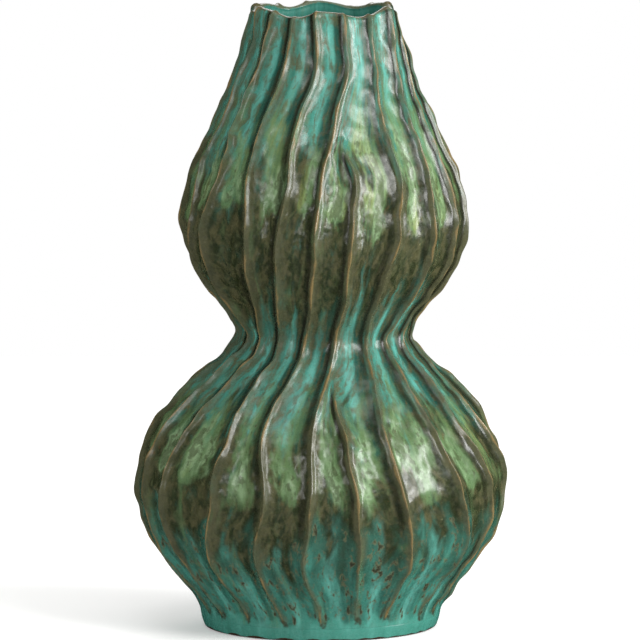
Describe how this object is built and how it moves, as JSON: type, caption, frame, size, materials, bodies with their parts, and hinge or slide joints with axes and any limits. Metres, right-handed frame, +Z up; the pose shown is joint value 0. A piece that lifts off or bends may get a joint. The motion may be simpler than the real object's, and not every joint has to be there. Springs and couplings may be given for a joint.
{
  "type": "double gourd vase",
  "caption": "Glazed stoneware double gourd vase with a tight waist, wandering pinched ribs over both bulbs, a wavy open rim and a turned foot ring.",
  "frame": {"origin": "middle of the foot ring's base, on the surface that the vase stands on", "axes": "+Z up along the vase's axis, -Y towards the front"},
  "size_m": [0.2108, 0.2104, 0.35],
  "materials": {
    "body_glaze": "glossy running copper green glaze, turquoise in the hollows and olive on the bellies",
    "rib_glaze": "the same glaze, thin and tan brown where it breaks over the ridges",
    "foot_clay": "glazed outside, bare brown stoneware at its base"
  },
  "bodies": {
    "root": {"foot_ring": "foot_clay", "lower_bulb": "body_glaze", "upper_bulb": "body_glaze", "rib_01": "rib_glaze", "rib_02": "rib_glaze", "rib_03": "rib_glaze", "rib_04": "rib_glaze", "rib_05": "rib_glaze", "rib_06": "rib_glaze", "rib_07": "rib_glaze", "rib_08": "rib_glaze", "rib_09": "rib_glaze", "rib_10": "rib_glaze", "rib_11": "rib_glaze", "rib_12": "rib_glaze", "rib_13": "rib_glaze", "rib_14": "rib_glaze", "rib_15": "rib_glaze", "rib_16": "rib_glaze", "rib_17": "rib_glaze", "rib_18": "rib_glaze", "rib_19": "rib_glaze", "rib_20": "rib_glaze"}
  },
  "joints": []
}
